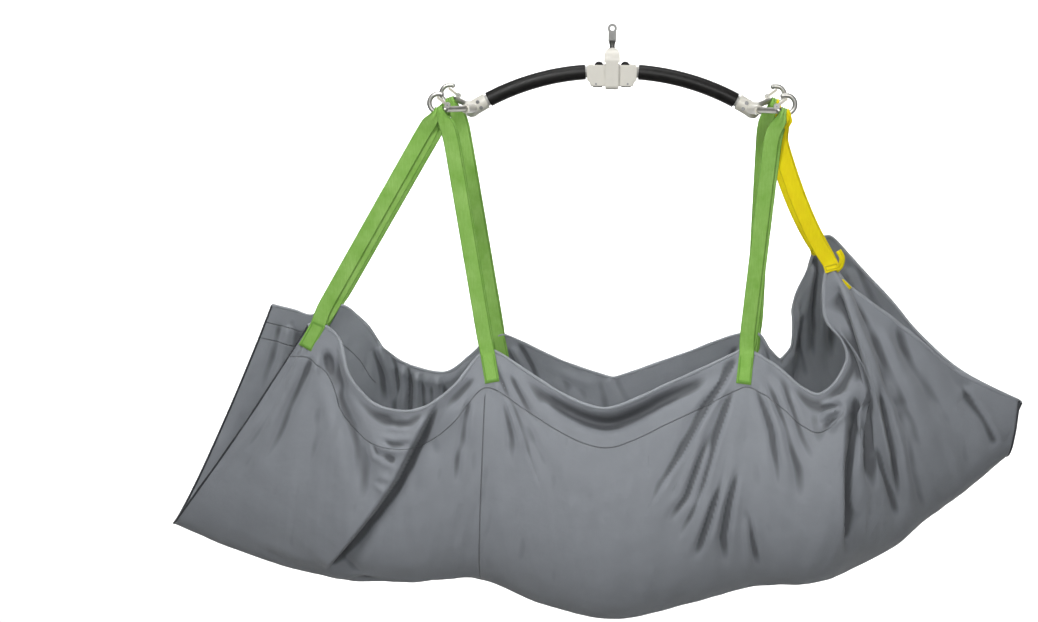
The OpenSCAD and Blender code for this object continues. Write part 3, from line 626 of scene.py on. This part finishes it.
def sling_grid():
    """The folded sling as a grid: its points, its lengths along and across and its distance from the nearer
    rim in mm, its stations, and its places from -1 at the near rim to 1 at the far rim."""
    stations = []
    for k in range(5):
        length = KEEL_STATION[k + 1][1] - KEEL_STATION[k][1]
        stations.append(np.linspace(k, k + 1, max(2, round(length / CELL)) + 1)[:-1])
    s = np.concatenate(stations + [[5.0]])
    v = np.linspace(-1, 1, 2 * HALF_COLS + 1)
    points = base_surface(s, v)
    across = arc_length(points, 1)
    along = np.broadcast_to(arc_length(points[:, HALF_COLS : HALF_COLS + 1], 0), across.shape)
    rim_gap = np.minimum(across, across[:, -1:] - across)
    near = np.broadcast_to(v < 0, across.shape)
    x, z = points[..., 0], points[..., 2]
    height = np.where(near, folded(x, z, NEAR_FOLDS), folded(x, z, FAR_FOLDS))
    s_grid = np.broadcast_to(s[:, None], across.shape)
    # The near rim rolls outwards above the seat, and both rims a little at the leg and shoulder openings
    roll = np.clip(1 - np.abs(s_grid - 2.51) / 0.40, 0, 1)
    roll = roll * roll * (3 - 2 * roll)
    lip = 20 * np.exp(-(((across - 2) / 10) ** 2)) - 27 * np.exp(-(((across - 25) / 12) ** 2))
    height += np.where(near, roll * lip, 0)
    leg_opening = np.clip(1 - np.abs(s_grid - 1.55) / 0.42, 0, 1)
    shoulder_opening = np.clip(1 - np.abs(s_grid - 3.45) / 0.4, 0, 1)
    thin_lip = 5 * np.exp(-((rim_gap / 8) ** 2)) - 4 * np.exp(-(((rim_gap - 20) / 10) ** 2))
    height += (leg_opening + shoulder_opening) * thin_lip
    calm = np.clip(rim_gap / 60, 0, 1) * np.clip(np.abs(v)[None, :] * 2.2, 0.15, 1)
    height += 1.7 * ripples(along, across, 3) * calm
    height += 0.8 * ripples(across, along, 5) * np.clip(rim_gap / 40, 0, 1) * 0.4
    return points + grid_normals(points) * height[..., None], along, across, rim_gap, s_grid, v


def hollow(points, normals):
    """How deep each point lies below its surroundings, at two scales. Negative values stand proud. reach is
    in cells, and depth in mm counts as 1."""
    total = np.zeros(points.shape[:2])
    for reach, depth in ((2, 1.3), (5, 5.0)):
        padded = np.pad(points, ((reach, reach), (reach, reach), (0, 0)), mode="reflect", reflect_type="odd")
        core = slice(reach, -reach)
        around = (padded[: -2 * reach, core] + padded[2 * reach :, core]
                  + padded[core, : -2 * reach] + padded[core, 2 * reach :]) / 4
        total += ((around - points) * normals).sum(-1) / depth
    for axis in (0, 1, 0, 1, 0, 1):
        before, after = np.roll(total, 1, axis), np.roll(total, -1, axis)
        total = (before + 2 * total + after) / 4
    return total


points, along, across, rim_gap, s_grid, v_list = sling_grid()
normals = grid_normals(points)
rows, cols = points.shape[:2]
count = rows * cols
skin = np.concatenate([points.reshape(-1, 3), (points - normals * CLOTH).reshape(-1, 3)]) * MM
edge = np.concatenate([
    np.arange(cols), np.arange(2 * cols - 1, count, cols), np.arange(count - 2, count - cols - 1, -1),
    np.arange(count - 2 * cols, 0, -cols),
])
border = np.stack([edge, np.roll(edge, -1), np.roll(edge, -1) + count, edge + count], -1)
faces = np.concatenate([grid_faces(rows, cols), grid_faces(rows, cols, count, True), border[:, ::-1]])
# How deep in a fold each point lies, kept as painted shade for the cloth's colour: the outer skin darkens in
# its hollows, and the inner skin where the outer skin stands proud, since those are the inner skin's hollows
outside = hollow(points, normals)
layout_out = np.stack([along * MM, across * MM, np.clip(outside, 0, 1)], -1).reshape(-1, 3)
layout_in = np.stack([along * MM, across * MM, np.clip(-outside, 0, 1)], -1).reshape(-1, 3)
on_near = np.broadcast_to(v_list < 0, s_grid.shape)
no_hem = np.where(on_near, s_grid > 3.55, s_grid > 1.3)
hem_line = (rim_gap - SEAM_DEPTH) * np.where(no_hem, UNSEEN, 1)
panel_line = along - np.interp(2.0, s_grid[:, 0], along[:, 0])
panel_line = panel_line * np.where(rim_gap < SEAM_DEPTH + 12, UNSEEN, 1)
second_line = (rim_gap - SECOND_SEAM) * np.where((s_grid < 1.0) & ~on_near, 1, UNSEEN)
seam_rows = np.stack([hem_line, panel_line, second_line], -1).reshape(-1, 3) * MM
sling = make_piece(
    "sling_sheet", skin, faces.tolist(), "sling_cloth", np.concatenate([layout_out, layout_in]),
    np.tile(seam_rows, (2, 1))
)
sling_tree = BVHTree.FromPolygons([tuple(p) for p in skin[:count]], grid_faces(rows, cols).tolist())


# ---------- bound edges ----------


EDGE_SIDES = 14


def tube(name, line, radius, slot, squash):
    """A rounded edge along a line of points in mm. radius is a number or one a point. squash flattens it."""
    radius = np.broadcast_to(radius, len(line))
    ahead = unit(np.gradient(line, axis=0))
    side = unit(np.cross(ahead, np.array([0.0, 1.0, 0.0])))
    out = np.cross(ahead, side)
    turn = np.arange(EDGE_SIDES) * 2 * np.pi / EDGE_SIDES
    rings = (
        line[:, None]
        + radius[:, None, None] * np.cos(turn)[None, :, None] * side[:, None]
        + radius[:, None, None] * squash * np.sin(turn)[None, :, None] * out[:, None]
    )
    run = np.broadcast_to(arc_length(line[:, None], 0), rings.shape[:2])
    turned = np.broadcast_to(turn * radius.mean(), rings.shape[:2])
    return swept_piece(name, rings, slot, np.stack([run, turned, 0 * run], -1))


def mid_cloth(at):
    """Points in mm in the middle of the cloth's thickness, at an index of the grid."""
    return points[at] - normals[at] * CLOTH / 2


wobble = 1 + 0.08 * np.sin(np.arange(rows) / 5.0) + 0.06 * np.sin(np.arange(rows) / 2.3 + 1)
rim_near = tube("rim_near", mid_cloth(np.s_[:, 0]), 3.4 * wobble, "edge_tape", 0.75)
rim_far = tube("rim_far", mid_cloth(np.s_[:, -1]), 3.2 * wobble, "edge_tape", 0.75)
hem_foot = tube("hem_foot", mid_cloth(0), 2.4, "sling_cloth", 0.9)
hem_head = tube("hem_head", mid_cloth(-1), 2.8, "sling_cloth", 0.9)
# Both end hems take the near-black cloth: painted shadow along the sling's ends
for hem in (hem_foot, hem_head):
    hem.data.materials[0] = end_hem_shadow
# The taped seam runs outside the keel, from a little past the head strap to the head end
head_keel = np.s_[int(np.searchsorted(s_grid[:, 0], 4.15)) :, HALF_COLS]
seam_head = tube("seam_head", points[head_keel] + normals[head_keel], 2.6, "edge_tape", 0.9)


# ---------- webbing straps ----------

# In mm: the hook rings' centres, their radius and half wire, the webbing's width, flat and at a hook, and its
# thickness, how far below a wire and above a rim a strap's free part runs, and the gap to the cloth's face
RING_X, RING_Y, RING_Z = 320, 120, -133
RING_R, WIRE_R = 17, 4.5
WEB_W, GATHERED_W, WEB_T = 28, 13.5, 1.5
BELOW_WIRE, ABOVE_RIM = 12, 16
OFF_CLOTH = 1.6
PLEAT = 1.1
# Rows of points in a strap's sewn end, its free part and its loop, and in a loose end
SEWN_ROWS, FREE_ROWS, LOOP_ROWS, LOOSE_ROWS = 15, 34, 13, 13


def ribbon(centre, across_dir, thick_dir, width, pleat):
    """A webbing ribbon through centre points in mm: its rings of points, its length at each, and each ring
    point's place across. width and pleat, the height of its pleats, have one value a centre point."""
    place = np.linspace(-0.5, 0.5, 17)
    rise = np.cos(place * 4 * np.pi)
    spread = centre[:, None] + across_dir[:, None] * (place[None, :, None] * width[:, None, None])
    spread = spread + thick_dir[:, None] * (rise[None, :, None] * pleat[:, None, None])
    thin = np.where(np.abs(place) > 0.46, 0.55, 1.0)[None, :, None] * WEB_T / 2
    front = spread + thick_dir[:, None] * thin
    back = spread - thick_dir[:, None] * thin
    ring = np.concatenate([front, back[:, ::-1]], 1)
    run = arc_length(centre[:, None], 0)[:, 0]
    wide = place * WEB_W
    return ring, run, np.concatenate([wide, wide[::-1]])


def sewn_box(run, wide, start, end):
    """1 where the box stitching of a sewn end runs, 0.4 on the rest of that end and 0 elsewhere."""
    inside = (run > start + 3) & (run < end - 3) & (np.abs(wide) < 11)
    cross_lines = (np.abs(run - start - 4) < 1.2) | (np.abs(run - end + 4) < 1.2)
    side_lines = np.abs(np.abs(wide) - 10) < 1.2
    inside_patch = (run >= start) & (run <= end)
    return np.where(inside & (cross_lines | side_lines), 1.0, np.where(inside_patch, 0.4, 0.0))


def surface_point(x, z, side, inner):
    """Point in mm of the cloth's outer face at x and z, on the near or the far wall (side -1 or 1). It is
    looked for from outside or inside the sling."""
    start = Vector((x * MM, 0.0 if inner else side * 0.6, z * MM))
    heading = Vector((0, side if inner else -side, 0))
    hit = sling_tree.ray_cast(start, heading)
    if hit[0] is None:
        near = sling_tree.find_nearest(Vector((x * MM, side * 0.15, z * MM)))
        return np.array(near[0]) / MM
    return np.array(hit[0]) / MM


def strap(name, x, y, loop_angle, anchor, patch_length, slot, replaced, stack, lateral, bend, bend_power,
          gather_length):
    """One strap: a ribbon sewn on the outside, up to its hook, over the wire and down to the inside. x and y
    are the hook's signs. stack moves the strap off its plane below the hook, and lateral lays its two bands
    apart. bend is how far in mm it stands off its straight line near the hook."""
    angle = math.radians(loop_angle)
    wire = np.array([x * (RING_X + RING_R * math.sin(angle)), y * RING_Y, RING_Z - RING_R * math.cos(angle)])
    edge_at = np.array(anchor, float)
    down = unit(edge_at - wire)
    lean_across = unit(np.array([-down[2], 0, down[0]]))
    lean_across = lean_across if lean_across[0] > 0 else -lean_across
    facing = unit(np.cross(lean_across, down))
    facing = facing if facing[1] < 0 else -facing
    outer, inner = [], []
    for k in range(SEWN_ROWS):
        reach = patch_length * (1 - k / (SEWN_ROWS - 1))
        at = edge_at + down * (reach + 1)
        outer.append(surface_point(at[0], at[2], y, False))
        inner.append(surface_point(at[0], at[2], y, True))
    outer = np.array(outer) + np.array([0, y * OFF_CLOTH, 0])
    inner = np.array(inner) - np.array([0, y * (OFF_CLOTH + CLOTH), 0])
    front, back = (outer, inner) if y < 0 else (inner, outer)
    loop_across = np.array([math.cos(angle), 0, x * math.sin(angle)])
    loop_down = np.array([x * math.sin(angle), 0, -math.cos(angle)])
    outer_loop = 2.0 if stack > 0 else 0.0
    radius = WIRE_R + 0.3 + WEB_T / 2 + 1.0 + outer_loop
    length = np.linalg.norm(edge_at - wire)
    t = np.linspace(BELOW_WIRE, length - ABOVE_RIM, FREE_ROWS)

    def leg(offset, shift):
        """Free part of one band, from the hook down to near the rim."""
        base = wire + down * t[:, None]
        near_hook = np.exp(-((t - BELOW_WIRE) / 12) ** 2)[:, None]
        apart = np.exp(-((t - BELOW_WIRE - 30) / 80) ** 2)[:, None] * (1 - near_hook)
        gap = offset * (1 + (radius / WEB_T - 1) * near_hook) + stack * apart
        aside = bend * (1 - np.exp(-((t - BELOW_WIRE + 2) / 15) ** 1.5)) * (1 - (t / length) ** bend_power)
        return base + facing * gap + lean_across * (shift * (1 - near_hook) + aside[:, None])

    front_leg = leg(WEB_T, -lateral / 2)
    back_leg = leg(-WEB_T, lateral / 2)
    turn = np.linspace(0, math.pi, LOOP_ROWS)[:, None]
    peak = 8.5 + outer_loop
    over = wire + np.array([0, -1, 0]) * radius * np.cos(turn) - loop_down * peak * np.sin(turn)
    sharp = np.concatenate([front, front_leg[::-1], over, back_leg, back[::-1]])
    centre = sharp.copy()
    for _ in range(2):
        centre[1:-1] = (centre[:-2] + 2 * centre[1:-1] + centre[2:]) / 4
    before_loop = SEWN_ROWS + FREE_ROWS
    loop = slice(before_loop - 1, before_loop + LOOP_ROWS + 1)
    centre[loop] = sharp[loop]
    n = len(centre)
    hook_gap = np.linalg.norm(centre - wire, axis=1)
    gather = np.clip(1 - (hook_gap - radius) / gather_length, 0, 1)
    gather = gather * gather * (3 - 2 * gather)
    width = WEB_W - (WEB_W - GATHERED_W) * gather
    in_loop = (np.arange(n) - before_loop + 0.5) / LOOP_ROWS
    width = width * (1 - 0.4 * np.sin(np.pi * np.clip(in_loop, 0, 1)))
    ahead = unit(np.gradient(centre, axis=0))
    want = lean_across * (1 - gather[:, None]) + loop_across * gather[:, None]
    across_dir = unit(want - ahead * (want * ahead).sum(1)[:, None])
    thick_dir = unit(np.cross(ahead, across_dir))
    at_top = n // 2
    if (thick_dir[at_top] * (centre[at_top] - wire)).sum() < 0:
        thick_dir = -thick_dir
        across_dir = -across_dir
    rings, run, wide = ribbon(centre, across_dir, thick_dir, width, PLEAT * gather)
    run_grid = np.broadcast_to(run[:, None], rings.shape[:2])
    wide_grid = np.broadcast_to(wide, rings.shape[:2])
    first_end = sewn_box(run_grid, wide_grid, 0, patch_length)
    last_end = sewn_box(run_grid, wide_grid, run[-1] - patch_length, run[-1])
    layout = np.stack([run_grid, wide_grid, np.maximum(first_end, last_end)], -1)
    piece = swept_piece(name, rings, slot, layout)
    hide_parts(replaced)
    return piece


def rim_at(table, s):
    """Point in mm of a rim at a station."""
    return smooth_table(table, [s])[0]


# Each strap: its name, which end of the bar, the angle of its loop on the ring, its rim stations near and
# far, the length of its sewn end, its slot, its stack, its lateral, its bend and the bend's power, and the
# length over which it is gathered
STRAPS = [
    ("foot", -1, 12, (1.0, 1.0), 56, "green_webbing", -5, 11, 2, 1, 13),
    ("thigh", -1, -20, (2.0, 2.0), 58, "green_webbing", 4, 3, 10, 1, 13),
    ("hip", 1, -20, (3.0, 3.0), 58, "green_webbing", 4, 6, -12, 1, 13),
    ("head", 1, 10, (4.0, 3.87), 16, "yellow_webbing", -9, 3, -27, 3.2, 34),
]
straps = []
for side, label, table in ((-1, "near", NEAR_RIM), (1, "far", FAR_RIM)):
    for title, x, angle, places, patch, slot, stack, lateral, bend, power, gathered in STRAPS:
        straps.append(strap(
            f"webbing_{title}_{label}", x, side, angle, rim_at(table, places[side > 0]), patch, slot,
            f"strap_{title}_{label}", stack, lateral, bend, power, gathered
        ))


def loose_webbing(name, line, width, off):
    """A short loose end of the head strap's webbing, by the near rim. line holds x and z in mm, and off is
    how far it bows outwards."""
    line = smooth_table([[k, *at] for k, at in enumerate(line)], np.linspace(0, len(line) - 1, LOOSE_ROWS))
    lift = off * np.sin(np.linspace(0.25, 1, LOOSE_ROWS) * math.pi)
    centre = np.stack([line[:, 0], rim_at(NEAR_RIM, 4.0)[1] - 4 - lift, line[:, 1]], -1)
    ahead = unit(np.gradient(centre, axis=0))
    across_dir = unit(np.cross(ahead, np.array([0.0, 1.0, 0.0])))
    thick_dir = np.cross(across_dir, ahead)
    same = np.ones(LOOSE_ROWS)
    rings, run, wide = ribbon(centre, across_dir, thick_dir, width * same, 0.5 * same)
    run_grid = np.broadcast_to(run[:, None], rings.shape[:2])
    wide_grid = np.broadcast_to(wide, rings.shape[:2])
    return swept_piece(name, rings, "yellow_webbing", np.stack([run_grid, wide_grid, 0 * run_grid], -1))


strap_tail = loose_webbing("head_strap_tail", [(423, -402), (430, -415), (428, -430), (420, -441)], 11, 7)
strap_tab = loose_webbing("head_strap_tab", [(431, -458), (439, -465), (448, -474)], 7, 3)

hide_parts("sling_leg_panel", "sling_seat_panel", "sling_back_panel", "sling_head_panel")
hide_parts("edge_binding_near")
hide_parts("edge_binding_far")
for piece in [sling, rim_near, rim_far, hem_foot, hem_head, seam_head, strap_tail, strap_tab, *straps]:
    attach(piece, "bar")


# ---------- sizes of the cloth ----------

cell_sides = np.diff(points, axis=0)[:, :-1], np.diff(points, axis=1)[:-1]
face_area = np.linalg.norm(np.cross(*cell_sides), axis=-1).sum()
print("sling in m2 and m: area", face_area * MM**2, "length", along.max() * MM, "width", across.max() * MM)


# ---------- stage, lights and camera ----------


# In metres: the floor's height, its front and half width, where it starts to curve up into the wall, the
# curve's radius and the wall's top
FLOOR_Z, FLOOR_FRONT, HALF_WIDTH = -1.75, -6.0, 5.0
CURVE_FROM, CURVE_R, WALL_TOP = 2.2, 1.8, 4.0
CURVE_STEPS = 12


def backdrop():
    """A floor that curves up into a wall behind the object. Its back is clear, so that the object is seen
    from that side too."""
    profile = [(FLOOR_FRONT, FLOOR_Z), (CURVE_FROM, FLOOR_Z)]
    for k in range(1, CURVE_STEPS + 1):
        a = k / CURVE_STEPS * math.pi / 2
        profile.append((CURVE_FROM + CURVE_R * math.sin(a), FLOOR_Z + CURVE_R * (1 - math.cos(a))))
    profile.append((CURVE_FROM + CURVE_R, WALL_TOP))
    verts = [(x, y, z) for y, z in profile for x in (-HALF_WIDTH, HALF_WIDTH)]
    quads = [(2 * i, 2 * i + 1, 2 * i + 3, 2 * i + 2) for i in range(len(profile) - 1)]
    mesh = bpy.data.meshes.new("backdrop")
    mesh.from_pydata(verts, [], quads)
    mesh.polygons.foreach_set("use_smooth", [True] * len(mesh.polygons))
    shader = Shader("backdrop_paper", Roughness=0.9, Specular_IOR_Level=0.1)
    place = shader.split(shader.coords())
    paper = shader.mix(shader.noise(shader.coords(), 0.5, 2), (0.93, 0.93, 0.93), (0.95, 0.95, 0.95))
    # Painted shade: the floor is grey (0.42) up to 0.4 m behind the object's middle and turns near white
    # (0.95) by 1.5 m, so it is darker under and in front of the object and bounces less light onto its
    # underside
    shader.colour(shader.mix(shader.remap((place, "Y"), 0.4, 1.5), (0.42, 0.42, 0.42), paper))
    one_sided = shader.add("ShaderNodeMixShader")
    shader.link(shader.add("ShaderNodeNewGeometry"), "Backfacing", one_sided, 0)
    shader.link(shader.bsdf, "BSDF", one_sided, 1)
    shader.link(shader.add("ShaderNodeBsdfTransparent"), "BSDF", one_sided, 2)
    shader.link(one_sided, "Shader", shader.output, "Surface")
    mesh.materials.append(shader.material)
    thing = bpy.data.objects.new("backdrop", mesh)
    bpy.context.scene.collection.objects.link(thing)


# Area lights that the camera doesn't see: name, place, aim, size, power in watts and spread in degrees
LIGHTS = [
    ("key", (-1.3, -3.1, 2.0), (-0.1, 0, -0.65), (1.3, 1.3), 17.2, 75),
    ("fill", (0.7, -3.8, 0.75), (0.05, 0, -0.55), (2.2, 1.0), 9.8, 70),
    ("top", (0.0, -0.2, 2.4), (0, 0, -0.6), (2.6, 1.2), 8.5, 80),
    ("floor_front", (0.0, -5.2, 3.2), (0, -5.2, FLOOR_Z), (9.0, 4.0), 70, 80),
    ("back_high", (0.0, 1.6, 3.4), (0, 4.0, 0.4), (6.0, 1.2), 130, 90),
    ("back_low", (0.0, 1.3, -1.2), (0, 4.0, -0.8), (6.0, 0.8), 75, 150),
]


def look_at(thing, place, aim):
    """Puts a light or the camera at a place, facing a point."""
    thing.location = place
    thing.rotation_euler = (Vector(aim) - thing.location).to_track_quat("-Z", "Y").to_euler()
    bpy.context.scene.collection.objects.link(thing)


backdrop()
for name, place, aim, size, power, spread in LIGHTS:
    light = bpy.data.lights.new(name, "AREA")
    light.shape = "RECTANGLE"
    light.size, light.size_y = size
    light.energy = power
    light.spread = math.radians(spread)
    thing = bpy.data.objects.new(name, light)
    thing.visible_camera = False
    look_at(thing, place, aim)

world = bpy.data.worlds.new("studio")
bpy.context.scene.world = world
world.use_nodes = True
world_tree = world.node_tree
sky = world_tree.nodes["Background"]
sky.inputs["Color"].default_value = (0.96, 0.98, 1.0, 1)
# The world lights the object faintly, and shows as pale paper past the backdrop's edges
paths = world_tree.nodes.new("ShaderNodeLightPath")
strength = world_tree.nodes.new("ShaderNodeMapRange")
strength.inputs["To Min"].default_value = 0.08
strength.inputs["To Max"].default_value = 0.85
world_tree.links.new(paths.outputs["Is Camera Ray"], strength.inputs["Value"])
world_tree.links.new(strength.outputs[0], sky.inputs["Strength"])
bpy.context.scene.view_settings.view_transform = "Standard"

camera = bpy.data.cameras.new("camera")
camera.lens = 67.04
camera.sensor_width = 36
view = bpy.data.objects.new("camera", camera)
look_at(view, (0.020, -3.700, 0.146), (-0.177, 0, -0.546))
bpy.context.scene.camera = view

bpy.context.view_layer.update()
